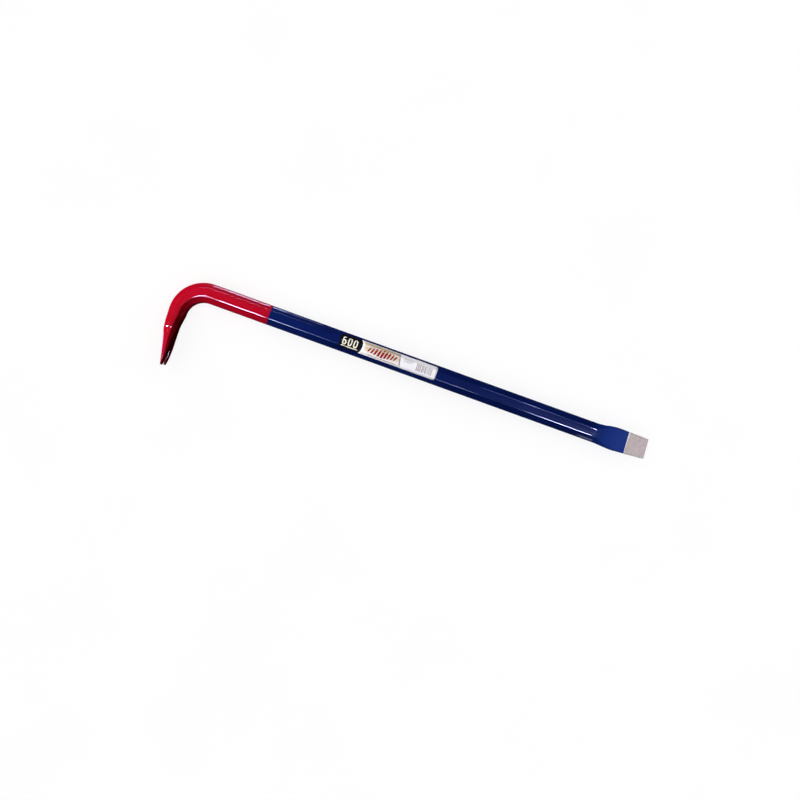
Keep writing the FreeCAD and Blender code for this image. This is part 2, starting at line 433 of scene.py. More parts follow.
def outline(station, inset):
    """Points round the station's section as (along depth, along width)."""
    inset += station.trim
    corners = section_corners(station.depth, station.width, station.bevels, inset)
    radius = max(station.radius - inset, station.radius / 2)
    hollow = HOLLOW_DEPTH * max(0.0, (station.radius - SHARP_RADIUS) / (EDGE_RADIUS - SHARP_RADIUS))
    count = len(corners)
    arcs = [rounded(corners[i - 1], corners[i], corners[(i + 1) % count], radius) for i in range(count)]
    points = []
    for i, face in enumerate(FACE_ORDER):
        start, end = arcs[i][-1], arcs[(i + 1) % count][0]
        points += arcs[i]
        if face == "depth":
            points += across_slot(start, end, station.slot_half, hollow)
        else:
            points += between(start, end, FACE_STEPS[face], hollow)
    return points


def middle_index(face_number):
    """Place in an outline of the middle point of one of its faces."""
    on_arcs = (ARC_STEPS + 1) * (face_number + 1)
    on_faces = sum(FACE_STEPS[face] - 1 for face in FACE_ORDER[:face_number])
    return on_arcs + on_faces + FACE_STEPS[FACE_ORDER[face_number]] // 2 - 1


INNER_MIDDLE = middle_index(3)
OUTER_MIDDLE = middle_index(7)


def wave(point):
    """How far the surface dips at a point, in millimetres."""
    rough = noise.noise(Vector((point.x / WAVE_LENGTH, point.y / WAVE_GIRTH, point.z / WAVE_GIRTH)))
    mark = MARK_DEPTH * math.exp(-((point.y + MARK_DROP) / MARK_LENGTH) ** 2)
    return WAVE_DEPTH * (1 + rough) / 2 + mark


def placed(station, flat_point):
    """A point of the section in the bar's frame, with the surface's dips and the paint line's wander."""
    point = station.centre + station.across * flat_point.x + OUT_OF_BEND * flat_point.y
    inward = station.centre - point
    point += inward.normalized() * min(wave(point), inward.length / 4)
    if station.ragged:
        point.x += station.ragged * noise.noise(point / PAINT_LINE_GRAIN)
    return point


# Skins grown ring by ring

def slot_opens(ring):
    """Whether the slot opens a ring, which then has spare points of its own."""
    main, spare = ring
    return spare[OUTER_MIDDLE] is not main[OUTER_MIDDLE]


class Skin:
    """A surface drawn as rings of points along the bar. A ring through the slot has two spare points."""

    def __init__(self):
        self.mesh = bmesh.new()
        self.soft_edges = self.mesh.edges.layers.float.new("bevel_weight_edge")

    def ring(self, station, inset):
        """Add a section's points. Returns them in order, with the spare ones by their place."""
        points = outline(station, inset)
        main = [self.mesh.verts.new(LAID @ placed(station, p)) for p in points]
        spare = {i: main[i] for i in (INNER_MIDDLE, OUTER_MIDDLE)}
        if station.slot_half > 0:
            for i in spare:
                mirrored = Vector((points[i].x, -points[i].y))
                spare[i] = self.mesh.verts.new(LAID @ placed(station, mirrored))
        return main, spare

    def face(self, corners):
        """Add a face, leaving out corners that fall together."""
        kept = [v for i, v in enumerate(corners) if v is not corners[i - 1]]
        if len(kept) > 2:
            self.mesh.faces.new(kept)

    def join(self, one, two):
        """Faces between two rings, and the slot's flanks where either ring is open."""
        (main_one, spare_one), (main_two, spare_two) = one, two
        count = len(main_one)
        for i in range(count):
            j = (i + 1) % count
            quad = [main_one[i], main_one[j], main_two[j], main_two[i]]
            if i == OUTER_MIDDLE:
                quad[0], quad[3] = spare_one[i], spare_two[i]
            if j == INNER_MIDDLE:
                quad[1], quad[2] = spare_one[j], spare_two[j]
            self.face(quad)
        if not (slot_opens(one) or slot_opens(two)):
            return
        for a, b in ((main_one, main_two), (spare_one, spare_two)):
            self.face([a[OUTER_MIDDLE], a[INNER_MIDDLE], b[INNER_MIDDLE], b[OUTER_MIDDLE]])
            for middle in (OUTER_MIDDLE, INNER_MIDDLE):
                edge = self.mesh.edges.get((a[middle], b[middle]))
                edge[self.soft_edges] = 1.0

    def run(self, stations, inset):
        """Rings through all the stations, joined in turn. Returns the first and last."""
        rings = [self.ring(station, inset) for station in stations]
        for one, two in zip(rings, rings[1:]):
            self.join(one, two)
        return rings[0], rings[-1]

    def close(self, ring):
        """Close the end of a run at a ring with one face, or with one for each tine."""
        main, spare = ring
        if not slot_opens(ring):
            self.face(main)
            return
        self.face(main[INNER_MIDDLE:OUTER_MIDDLE + 1])
        rest = main[OUTER_MIDDLE + 1:] + main[:INNER_MIDDLE]
        self.face([spare[OUTER_MIDDLE]] + rest + [spare[INNER_MIDDLE]])

    def piece(self, name, material, slot, softening=0.0):
        """Make the piece from the finished skin."""
        bmesh.ops.recalc_face_normals(self.mesh, faces=self.mesh.faces)
        made = new_piece(name, self.mesh, material, slot)
        if softening:
            soften = made.modifiers.new("slot_edges", "BEVEL")
            soften.limit_method = "WEIGHT"
            soften.width = softening * MM
            soften.segments = 3
        return made


def new_piece(name, mesh, material, slot):
    """A smooth shaded object from a bmesh, riding on the bar."""
    data = bpy.data.meshes.new(name)
    mesh.to_mesh(data)
    mesh.free()
    data.polygons.foreach_set("use_smooth", [True] * len(data.polygons))
    data.materials.append(material)
    piece = bpy.data.objects.new(name, data)
    bpy.context.scene.collection.objects.link(piece)
    BAR_ONLY.objects.link(piece)
    GROUP_OF_SLOT.get(slot, BLUE_SIDE).objects.link(piece)
    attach(piece, "root")
    return piece


# The forging and its coats

def at_paint_line(past, trim=0.0):
    """Section of the shank beside the line where the two coats meet."""
    return shank_station(RED_END_X + past, trim, PAINT_LINE_RAGGED * (1 - abs(past)))


def red_coat(material):
    """Red lacquer from the claw's tips to its line on the shank: one closed shell."""
    skin = Skin()
    ends = []
    for inset, rim in ((RED_SKIN, RIM_FRONT), (COAT_BACK, RIM_BACK)):
        stations = claw_run(inset) + bend_run() + shank_run(BEND_X, RED_END_X - RIM_RUN)[1:-1]
        stations += [at_paint_line(-back, trim) for back, trim in rim]
        tips, end = skin.run(stations, inset)
        skin.close(tips)
        ends.append(end)
    skin.join(*ends)
    piece = skin.piece("red_coat", material, "red_lacquer", SLOT_SOFTENING)
    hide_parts("red_enamel")


def blue_coat(material):
    """Blue lacquer from the red one to the bare tip: an open sleeve with rounded rims."""
    skin = Skin()
    starts, ends = [], []
    line = BLADE_LENGTH - BARE_TIP
    for inset, rim in ((BLUE_SKIN, RIM_FRONT), (COAT_BACK, RIM_BACK)):
        stations = [at_paint_line(0.0), at_paint_line(RIM_RUN)]
        stations += shank_run(RED_END_X + 2 * RIM_RUN, TIP_X - BLADE_LENGTH)[:-1]
        stations += blade_run(0, line - RIM_RUN)[:-1]
        stations += [blade_station(line - back, 0.0, trim, PAINT_LINE_RAGGED) for back, trim in rim]
        start, end = skin.run(stations, inset)
        starts.append(start)
        ends.append(end)
    skin.join(*starts)
    skin.join(*ends)
    piece = skin.piece("blue_coat", material, "blue_lacquer")
    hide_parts("blue_enamel")


def forged_steel(material):
    """The forging under the paint, with its ground tip in the open."""
    skin = Skin()
    stations = claw_run(COAT) + bend_run() + shank_run(BEND_X, TIP_X - BLADE_LENGTH)[1:-1]
    stations += blade_run(0, BLADE_LENGTH - COAT - TIP_ROUND[-1][0], COAT)
    stations += [blade_station(BLADE_LENGTH - COAT - back, COAT, trim) for back, trim in TIP_ROUND[-2::-1]]
    tips, edge = skin.run(stations, COAT)
    skin.close(tips)
    skin.close(edge)
    piece = skin.piece("steel_forging", material, "forged_steel", SLOT_SOFTENING)
    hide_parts("forged_bar")


# Label, badge and their prints, laid round the shank by x and by the way round from the front flat's middle

FLAT_RUN = (HALF - EDGE_RADIUS) * CORNER_SHARE
ARC_RUN = EDGE_RADIUS * math.pi / 4
BEVEL_RUN = 2 * FLAT_RUN


def round_shank(x, way, height):
    """Point over the shank's paint at a way round it, as far above the surface as the height."""
    side = math.copysign(1, way)
    way = abs(way)
    if way < FLAT_RUN:
        tilt, y, z = 0.0, way, HALF
        dip = HOLLOW_DEPTH * (1 - (way / FLAT_RUN) ** 2)
    elif way < FLAT_RUN + ARC_RUN:
        tilt = (way - FLAT_RUN) / EDGE_RADIUS
        y = FLAT_RUN + EDGE_RADIUS * math.sin(tilt)
        z = HALF - EDGE_RADIUS + EDGE_RADIUS * math.cos(tilt)
        dip = 0.0
    else:
        tilt = math.pi / 4
        past = way - FLAT_RUN - ARC_RUN
        share = past / BEVEL_RUN
        y = FLAT_RUN + (EDGE_RADIUS + past) * math.sin(tilt)
        z = HALF - EDGE_RADIUS + (EDGE_RADIUS - past) * math.cos(tilt)
        dip = HOLLOW_DEPTH * 4 * share * (1 - share)
    base = Vector((x, side * y, z))
    centre = Vector((x, 0, 0))
    base += (centre - base).normalized() * wave(base)
    return base + Vector((0, side * math.sin(tilt), math.cos(tilt))) * (height - dip)


def way_at(y):
    """The way round the shank to a point that lies at y, seen square to the front flat."""
    side = math.copysign(1, y)
    y = abs(y)
    if y < FLAT_RUN:
        return side * y
    tilt = math.asin(min(1.0, (y - FLAT_RUN) / EDGE_RADIUS))
    if tilt < math.pi / 4:
        return side * (FLAT_RUN + EDGE_RADIUS * tilt)
    past = (y - FLAT_RUN) * math.sqrt(2) - EDGE_RADIUS
    return side * (FLAT_RUN + ARC_RUN + past)


WAY_TOP = way_at(LABEL_TOP)
WAY_BOTTOM = way_at(LABEL_BOTTOM)
WAY_MIDDLE = (WAY_TOP + WAY_BOTTOM) / 2


class Film:
    """Thin closed patches laid round the shank."""

    def __init__(self, top, back):
        self.mesh = bmesh.new()
        self.heights = (-top, -back)

    def patch(self, rows):
        """Closed patch through rows of (x, way) points, all rows as long."""
        layers = []
        for height in self.heights:
            layers.append([[self.mesh.verts.new(LAID @ round_shank(x, way, height)) for x, way in row]
                           for row in rows])
        for layer in layers:
            for low, high in zip(layer, layer[1:]):
                for i in range(len(low) - 1):
                    self.mesh.faces.new((low[i], low[i + 1], high[i + 1], high[i]))
        rims = [rim_of(layer) for layer in layers]
        for i in range(len(rims[0])):
            self.mesh.faces.new((rims[0][i - 1], rims[0][i], rims[1][i], rims[1][i - 1]))

    def stroke(self, path, width, closed=False):
        """Pen stroke of even width along a path of (x, way) points."""
        count = len(path)
        rows = []
        for i, (x, way) in enumerate(path):
            before = path[i - 1] if i or closed else path[0]
            after = path[(i + 1) % count] if i < count - 1 or closed else path[-1]
            along = Vector((after[0] - before[0], after[1] - before[1])).normalized()
            side = Vector((-along.y, along.x)) * width / 2
            rows.append([(x - side.x, way - side.y), (x, way), (x + side.x, way + side.y)])
        self.patch(rows + rows[:1] if closed else rows)

    def piece(self, name, material, slot):
        """Make the piece from the patches."""
        bmesh.ops.remove_doubles(self.mesh, verts=self.mesh.verts, dist=TINY * MM)
        bmesh.ops.recalc_face_normals(self.mesh, faces=self.mesh.faces)
        return new_piece(name, self.mesh, material, slot)


def rim_of(layer):
    """Vertices round the edge of a grid of rows, in order."""
    right = [row[-1] for row in layer[1:-1]]
    left = [row[0] for row in layer[1:-1]]
    return layer[0] + right + layer[-1][::-1] + left[::-1]


def film_ways():
    """Ways round the shank of a film's rows, closer together near its two long edges."""
    turns = [math.pi / 2 * i / FILM_CORNER_STEPS for i in range(FILM_CORNER_STEPS + 1)]
    corner = [LABEL_CORNER * (1 - math.cos(turn)) for turn in turns]
    middle = spaced(WAY_BOTTOM + LABEL_CORNER, WAY_TOP - LABEL_CORNER, FILM_ROW)
    return [WAY_BOTTOM + c for c in corner[:-1]] + middle + [WAY_TOP - c for c in corner[-2::-1]]


def corner_cut(way):
    """How far a rounded end draws back at a way round the shank."""
    from_edge = min(way - WAY_BOTTOM, WAY_TOP - way)
    short = max(LABEL_CORNER - from_edge, 0)
    return LABEL_CORNER - math.sqrt(max(LABEL_CORNER**2 - short**2, 0))


def badge_end(way):
    """x of the bulging right end of the badge."""
    off_middle = (way - WAY_MIDDLE) / ((WAY_TOP - WAY_BOTTOM) / 2)
    return LABEL_X + BADGE_LENGTH - BADGE_BULGE * off_middle**2


def label(material):
    """White film from the badge's bulge to its rounded right end."""
    film = Film(FILM_TOP, FILM_BACK)
    end = LABEL_X + LABEL_LENGTH
    rows = [[(x, way) for x in in_steps(badge_end(way), end - corner_cut(way), LABEL_COLUMNS)]
            for way in film_ways()]
    film.patch(rows)
    piece = film.piece("label", material, "label_paper")
    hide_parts("label_film")


def badge(material):
    """Black film at the left end of the label."""
    film = Film(FILM_TOP, FILM_BACK)
    rows = [[(x, way) for x in in_steps(LABEL_X + corner_cut(way), badge_end(way), BADGE_COLUMNS)]
            for way in film_ways()]
    film.patch(rows)
    piece = film.piece("badge", material, "badge_black")
    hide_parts("size_badge")


def oval(centre_x, centre_way, half_x, half_way, start_deg, end_deg, steps):
    """Points along an oval, squared off a little."""
    points = []
    for angle in in_steps(math.radians(start_deg), math.radians(end_deg), steps):
        c, s = math.cos(angle), math.sin(angle)
        points.append((centre_x + half_x * math.copysign(abs(c) ** OVAL_SQUARENESS, c),
                       centre_way + half_way * math.copysign(abs(s) ** OVAL_SQUARENESS, s)))
    return points


def numerals(material):
    """The nominal length in plain strokes, over a plain rule."""
    film = Film(PRINT_TOP, PRINT_BACK)
    half_x = (NUMERAL_WIDTH - NUMERAL_PEN) / 2
    half_way = (NUMERAL_HEIGHT - NUMERAL_PEN) / 2
    middle = NUMERAL_BASE + NUMERAL_HEIGHT / 2
    first = LABEL_X + NUMERALS_START + NUMERAL_WIDTH / 2
    bowl = half_way * SIX_BOWL_SHARE
    bowl_way = middle - half_way + bowl
    film.stroke(oval(first, bowl_way, half_x, bowl, 0, 360, SIX_BOWL_STEPS)[:-1], NUMERAL_PEN, closed=True)
    back = oval(first, bowl_way, half_x, 2 * half_way - bowl, 180, SIX_BACK_END_DEG, SIX_BACK_STEPS)
    film.stroke(back, NUMERAL_PEN)
    for place in (1, 2):
        ring = oval(first + place * NUMERAL_PITCH, middle, half_x, half_way, 0, 360, ZERO_STEPS)
        film.stroke(ring[:-1], NUMERAL_PEN, closed=True)
    columns = in_steps(LABEL_X + RULE_START, LABEL_X + RULE_END, RULE_COLUMNS)
    rule_way = NUMERAL_BASE - RULE_DROP
    film.patch([[(x, rule_way + rise) for x in columns] for rise in (-RULE_HALF, 0.0, RULE_HALF)])
    film.piece("badge_numerals", material, "badge_black")


def slab(film, x_low, x_high, way_low, way_high, slant=0.0):
    """Printed parallelogram, slanted by x over its height."""
    rows = []
    for share in in_steps(0, 1, max(2, round((way_high - way_low) / SLAB_ROW))):
        way = way_low + (way_high - way_low) * share
        shift = slant * (share - 0.5)
        rows.append([(x + shift, way) for x in spaced(x_low, x_high, SLAB_COLUMN)])
    film.patch(rows)


def line(film, x_low, x_high, way, half):
    """Printed line along the label, by its middle and half its breadth."""
    slab(film, x_low, x_high, way - half, way + half)


def tan_panel(material):
    """Tan ground in the middle of the label, fading out downwards."""
    film = Film(FILM_TOP - TAN_RISE, FILM_BACK)
    slab(film, LABEL_X + TAN_START, LABEL_X + TAN_END, way_at(TAN_BOTTOM), WAY_TOP - TAN_MARGIN, TAN_SLANT)
    film.piece("label_tan_panel", material, "label_paper")


def motif(material):
    """Plain motif of slanted bars that narrow to both sides, between two thin lines."""
    film = Film(PRINT_TOP, PRINT_BACK)
    low, high = way_at(MOTIF_BOTTOM), way_at(MOTIF_TOP)
    middle = (low + high) / 2
    middle_bar = MOTIF_BARS // 2
    for place in range(MOTIF_BARS):
        share = abs(place - middle_bar) / middle_bar
        half = (high - low) / 2 * (1 - MOTIF_HEIGHT_LOSS * share)
        x = LABEL_X + MOTIF_START + place * MOTIF_PITCH
        slab(film, x, x + MOTIF_BAR - MOTIF_BAR_LOSS * share, middle - half, middle + half, MOTIF_SLANT)
    for way in (low - MOTIF_LINE_BELOW, high + MOTIF_LINE_ABOVE):
        line(film, LABEL_X + MOTIF_LINE_START, LABEL_X + MOTIF_LINE_END, way, MOTIF_LINE_HALF)
    film.piece("label_motif", material, "label_paper")


def small_print(material):
    """Rows of grey dashes in place of small print."""
    film = Film(PRINT_TOP, PRINT_BACK)
    dice = random.Random(7)
    for row in range(DASH_ROWS):
        way = way_at(DASH_TOP) - row * DASH_PITCH
        x = LABEL_X + DASH_START
        end = LABEL_X + DASH_END - dice.random() * DASH_END_RAGGED
        while x < end:
            run = DASH_SHORTEST + dice.random() * DASH_LONGER
            line(film, x, min(x + run, end), way, DASH_HALF)
            x += run + DASH_GAP
    film.piece("label_small_print", material, "label_paper")


def stripe_block(material):
    """Upright stripes of uneven width, which stand for nothing."""
    film = Film(PRINT_TOP, PRINT_BACK)
    dice = random.Random(11)
    x = LABEL_X + STRIPE_START
    while x < LABEL_X + STRIPE_END:
        width = dice.choice(STRIPE_WIDTHS)
        slab(film, x, x + width, way_at(STRIPE_BOTTOM), way_at(STRIPE_TOP))
        x += width + dice.choice(STRIPE_GAPS)
    film.piece("label_stripes", material, "label_paper")


# Materials

def material_named(name):
    """Empty node material and its shader."""
    material = bpy.data.materials.new(name)
    material.use_nodes = True
    return material, material.node_tree, material.node_tree.nodes["Principled BSDF"]


def add(tree, kind, inputs=None, **settings):
    """New node with its settings and inputs. An input is a value or another node's output."""
    made = tree.nodes.new(kind)
    for name, value in settings.items():
        setattr(made, name, value)
    for name, value in (inputs or {}).items():
        if isinstance(value, bpy.types.NodeSocket):
            tree.links.new(value, made.inputs[name])
        else:
            made.inputs[name].default_value = value
    return made


def place_on_bar(tree, scale=(1, 1, 1)):
    """Place on the bar, in metres, stretched by the scale."""
    place = add(tree, "ShaderNodeTexCoord").outputs["Object"]
    return add(tree, "ShaderNodeMapping", {"Vector": place, "Scale": scale}).outputs["Vector"]


def noise_at(tree, scale, detail=2.0, stretch=(1, 1, 1), roughness=0.5):
    """Noise with its grain given by scale, in cycles to a metre."""
    texture = add(tree, "ShaderNodeTexNoise", {"Vector": place_on_bar(tree, stretch), "Scale": scale,
                                               "Detail": detail, "Roughness": roughness})
    return texture.outputs["Fac"]


def ramp(tree, value, low, high, low_to=0.0, high_to=1.0):
    """Value carried from one span to another and held at its ends."""
    spans = {"Value": value, "From Min": low, "From Max": high, "To Min": low_to, "To Max": high_to}
    return add(tree, "ShaderNodeMapRange", spans).outputs["Result"]


def blend(tree, share, first, second):
    """Colour between two colours. Each is a value or an output."""
    made = add(tree, "ShaderNodeMix", data_type="RGBA")
    for socket, value in ((made.inputs[0], share), (made.inputs[6], first), (made.inputs[7], second)):
        if isinstance(value, bpy.types.NodeSocket):
            tree.links.new(value, socket)
        else:
            socket.default_value = value
    return made.outputs[2]


def bump(tree, shader, height, distance, strength=1.0):
    """Bump the shader by a height that is worth so many metres."""
    made = add(tree, "ShaderNodeBump", {"Height": height, "Distance": distance, "Strength": strength})
    tree.links.new(made.outputs["Normal"], shader.inputs["Normal"])
    return made.outputs["Normal"]


def lacquer(name, light, dark, dust, mask, far_light, far_dark):
    """Gloss dipped lacquer: uneven depth of colour, orange peel, fine scuffs and dust in the finish.

    The far colours take over where the mask says so: painted shade in the red lacquer, a lighter blade in the
    blue.
    """
    material, tree, shader = material_named(name)
    depth = ramp(tree, noise_at(tree, 45, 3, (0.5, 1, 1)), 0.3, 0.7)
    colour = blend(tree, mask(tree), blend(tree, depth, dark, light), blend(tree, depth, far_dark, far_light))
    scuffs = ramp(tree, noise_at(tree, 900, 2, (0.04, 1, 1)), 0.68, 0.76, 0.0, 0.2)
    colour = blend(tree, scuffs, colour, dust)
    specks = ramp(tree, noise_at(tree, 1500, 1), 0.74, 0.82, 0.0, 0.5)
    colour = blend(tree, specks, colour, dust)
    tree.links.new(colour, shader.inputs["Base Color"])
    rough = ramp(tree, noise_at(tree, 60, 4), 0.3, 0.75, 0.3, 0.42)
    tree.links.new(rough, shader.inputs["Roughness"])
    shader.inputs["Specular IOR Level"].default_value = 0.04
    shader.inputs["Coat Weight"].default_value = 1.0
    shader.inputs["Coat Roughness"].default_value = 0.06
    shader.inputs["Coat IOR"].default_value = 1.6
    peel = noise_at(tree, 420, 2)
    normal = bump(tree, shader, peel, 0.00003, 0.25)
    tree.links.new(normal, shader.inputs["Coat Normal"])
    return material


def own_place(tree, axis):
    """Distance along one axis of the bar's own frame, in millimetres."""
    place = add(tree, "ShaderNodeTexCoord").outputs["Object"]
    back = LAID.inverted()
    row = Vector(back[axis][:3])
    along = add(tree, "ShaderNodeVectorMath", {0: place, 1: row}, operation="DOT_PRODUCT").outputs["Value"]
    return add(tree, "ShaderNodeMath", {0: along, 1: back[axis][3]}, operation="ADD").outputs["Value"]


def blade_mask(tree):
    """The blade, where the lacquer is lighter."""
    return ramp(tree, own_place(tree, 0), *(TIP_X - BLADE_LENGTH + past for past in BLADE_TONE))


def inside_shade_mask(tree):
    """The inner side of the leg and claw, where shade is painted into the lacquer."""
    x, y, z = (own_place(tree, axis) for axis in range(3))
    height = add(tree, "ShaderNodeMath", {0: z}, operation="ABSOLUTE").outputs["Value"]
    depth = add(tree, "ShaderNodeMath", {0: x, 1: height}, operation="SUBTRACT").outputs["Value"]
    facing = ramp(tree, depth, *(HEEL_X + past for past in INSIDE_SHADE_DEPTH))
    below = ramp(tree, y, *INSIDE_SHADE_Y)
    return add(tree, "ShaderNodeMath", {0: facing, 1: below}, operation="MULTIPLY").outputs["Value"]


def red_lacquer():
    """Red lacquer, with shade painted in darker inside the leg and claw."""
    # The far colours are painted shade for the inner side of the leg and claw.
    return lacquer("red_lacquer", light=(0.40, 0.0020, 0.016, 1), dark=(0.33, 0.0014, 0.010, 1),
                   dust=(0.5, 0.03, 0.05, 1), mask=inside_shade_mask,
                   far_light=(0.14, 0.001, 0.003, 1), far_dark=(0.10, 0.0008, 0.002, 1))


def blue_lacquer():
    """Blue lacquer, lighter on the blade."""
    return lacquer("blue_lacquer", light=(0.0034, 0.0115, 0.100, 1), dark=(0.0020, 0.0076, 0.072, 1),
                   dust=(0.02, 0.04, 0.2, 1), mask=blade_mask,
                   far_light=(0.0065, 0.030, 0.215, 1), far_dark=(0.0050, 0.025, 0.190, 1))


def ground_steel():
    """Bare steel off the grinding wheel: fine lines, a near-white band at the paint line of bared steel and
    painted highlight, and a bloom of rust.
    """
    material, tree, shader = material_named("ground_steel")
    lines = noise_at(tree, 2200, 2, (1, 0.03, 0.3))
    mottle = noise_at(tree, 300, 5, roughness=0.65)
    colour = blend(tree, ramp(tree, mottle, 0.35, 0.65), (0.56, 0.47, 0.485, 1), (0.76, 0.655, 0.68, 1))
    bloom = ramp(tree, noise_at(tree, 120, 4), 0.55, 0.7, 0.0, 0.5)
    colour = blend(tree, bloom, colour, (0.42, 0.36, 0.28, 1))
    # Near-white band past the paint line: brighter bared steel with a highlight painted in.
    fresh_steel_and_glint = ramp(tree, own_place(tree, 0), *(TIP_X - BARE_TIP + past for past in FRESH_STEEL_AND_GLINT), 0.9, 0.0)
    colour = blend(tree, fresh_steel_and_glint, colour, (0.97, 0.95, 0.97, 1))
    tree.links.new(colour, shader.inputs["Base Color"])
    shader.inputs["Metallic"].default_value = 0.6
    rough = ramp(tree, mottle, 0.3, 0.7, 0.34, 0.5)
    tree.links.new(rough, shader.inputs["Roughness"])
    bump(tree, shader, lines, 0.00005, 0.6)
    return material


def paper():
    """Coated white label stock."""
    material, tree, shader = material_named("label_stock")
    tone = noise_at(tree, 160, 3)
    colour = blend(tree, ramp(tree, tone, 0.3, 0.7), (0.93, 0.91, 0.95, 1), (0.84, 0.82, 0.86, 1))
    grime = ramp(tree, noise_at(tree, 700, 2), 0.68, 0.8, 0.0, 0.4)
    colour = blend(tree, grime, colour, (0.52, 0.50, 0.52, 1))
    tree.links.new(colour, shader.inputs["Base Color"])
    tree.links.new(ramp(tree, tone, 0.3, 0.7, 0.32, 0.45), shader.inputs["Roughness"])
    shader.inputs["Coat Weight"].default_value = 0.3
    shader.inputs["Coat Roughness"].default_value = 0.15
    bump(tree, shader, noise_at(tree, 1200, 3), 0.00002, 0.5)
    return material


def ink(name, light, dark, gloss=0.35):
    """Printed ink with a slightly uneven film."""
    material, tree, shader = material_named(name)
    tone = noise_at(tree, 900, 3)
    tree.links.new(blend(tree, ramp(tree, tone, 0.3, 0.7), dark, light), shader.inputs["Base Color"])
    tree.links.new(ramp(tree, tone, 0.3, 0.7, gloss, gloss + 0.12), shader.inputs["Roughness"])
    shader.inputs["Specular IOR Level"].default_value = 0.2
    bump(tree, shader, tone, 0.000015, 0.5)
    return material


def tan_ink():
    """Tan print that fades to the white of the paper away from its upper edge."""
    material, tree, shader = material_named("tan_ink")
    place = add(tree, "ShaderNodeTexCoord").outputs["Object"]
    height = add(tree, "ShaderNodeSeparateXYZ", {"Vector": place}).outputs["Y"]
    low, high = (LAID @ Vector((0, y, HALF)) for y in (TAN_BOTTOM, TAN_FULL))
    fade = ramp(tree, height, low.y, high.y)
    grain = noise_at(tree, 500, 3)
    ground = blend(tree, ramp(tree, grain, 0.3, 0.7), (0.54, 0.42, 0.26, 1), (0.68, 0.56, 0.38, 1))
    colour = blend(tree, fade, (0.86, 0.83, 0.82, 1), ground)
    tree.links.new(colour, shader.inputs["Base Color"])
    tree.links.new(ramp(tree, grain, 0.3, 0.7, 0.3, 0.42), shader.inputs["Roughness"])
    bump(tree, shader, grain, 0.000015, 0.5)
    return material


# Floor, lights and camera

def floor():
    """Plain pale floor under the bar, which the bar doesn't mirror."""
    material, tree, shader = material_named("pale_floor")
    colour = blend(tree, noise_at(tree, 6, 3), (0.90, 0.90, 0.90, 1), (0.93, 0.93, 0.93, 1))
    tree.links.new(colour, shader.inputs["Base Color"])
    shader.inputs["Roughness"].default_value = 0.8
    shader.inputs["Specular IOR Level"].default_value = 0.1
    mesh = bmesh.new()
    bmesh.ops.create_grid(mesh, x_segments=8, y_segments=8, size=FLOOR_HALF)
    data = bpy.data.meshes.new("floor")
    mesh.to_mesh(data)
    mesh.free()
    data.materials.append(material)
    ground = bpy.data.objects.new("floor", data)
    ground.location.z = -FLOOR_GAP
    ground.visible_glossy = False
    ground.visible_diffuse = False
    bpy.context.scene.collection.objects.link(ground)
    FLOOR_ONLY.objects.link(ground)


COOL = (0.55, 0.60, 1.0)
PINK = (1.0, 0.45, 0.55)
STRIP_REACH = 1000.0


def lamp(name, place, aim, size, radiance, kept_to, tint=(1.0, 1.0, 1.0), blockers=None):
    """Soft rectangular lamp at a place in the bar's frame, aimed at a point there, with its length along x.

    Its size is in metres. It lights only the group it is kept to, and only the blockers, if given, shade it.
    """
    data = bpy.data.lights.new(name, "AREA")
    data.shape = "RECTANGLE"
    data.size, data.size_y = size
    data.energy = radiance * math.pi * size[0] * size[1]
    data.color = tint
    made = bpy.data.objects.new(name, data)
    at = LAID @ Vector(place)
    back = (at - LAID @ Vector(aim)).normalized()
    along = (Vector((1, 0, 0)) - back * back.x).normalized()
    turn = Matrix((along, back.cross(along), back)).transposed().to_4x4()
    made.matrix_world = Matrix.Translation(at) @ turn
    bpy.context.scene.collection.objects.link(made)
    made.light_linking.receiver_collection = kept_to
    made.light_linking.blocker_collection = blockers
    made.visible_camera = False
    return made


def gridded(made, spread_deg=5.0):
    """The lamp with a grid over it, which keeps its light to a narrow beam of the same brightness."""
    half = math.radians(spread_deg) / 2
    made.data.spread = 2 * half
    made.data.energy *= 1 - half / math.tan(half)
    return made


def floor_sun(strength):
    """Even light on the floor alone, under which the bar throws no shadow."""
    data = bpy.data.lights.new("floor_sun", "SUN")
    data.energy = strength
    made = bpy.data.objects.new("floor_sun", data)
    bpy.context.scene.collection.objects.link(made)
    made.light_linking.receiver_collection = FLOOR_ONLY
    made.light_linking.blocker_collection = FLOOR_ONLY


def strip(name, tilt_deg, breadth, stretches):
    """Row of lamps beside the bar, as the camera sees them mirrored in a corner of the shank.

    The tilt is from straight above the bar towards the claw's side. Each stretch gives the part of the corner
    that mirrors a lamp, by x, and the lamp's radiance. Where x runs past the shank, the bend mirrors it.
    """
    tilt = math.radians(tilt_deg)
    spread_out = 1 + STRIP_REACH / CAMERA_PLACE[2]
    for number, (x_from, x_to, radiance) in enumerate(stretches):
        middle = (x_from + x_to) / 2
        x = middle * spread_out
        length = (x_to - x_from) * spread_out * MM
        place = (x, -STRIP_REACH * math.sin(tilt), STRIP_REACH * math.cos(tilt))
        side = RED_SIDE if middle < RED_END_X else BLUE_SIDE
        made = lamp(f"{name}_{number}", place, (x, 0, 0), (length, breadth), radiance, side, COOL, BAR_ONLY)
        made.visible_diffuse = False


def camera():
    """Camera square over the plane of the bend, with the blade turned down to the right."""
    data = bpy.data.cameras.new("camera")
    data.lens = LENS
    data.sensor_width = 36.0
    data.clip_start = 0.05
    data.clip_end = 20.0
    eye = bpy.data.objects.new("camera", data)
    roll = math.radians(CAMERA_ROLL_DEG)
    right = Vector((math.cos(roll), math.sin(roll), 0))
    up = Vector((-math.sin(roll), math.cos(roll), 0))
    own = Matrix((right, up, OUT_OF_BEND)).transposed()
    turn = (LAID.to_3x3() * (1 / MM)) @ own
    eye.matrix_world = Matrix.Translation(LAID @ Vector(CAMERA_PLACE)) @ turn.to_4x4()
    bpy.context.scene.collection.objects.link(eye)
    bpy.context.scene.camera = eye


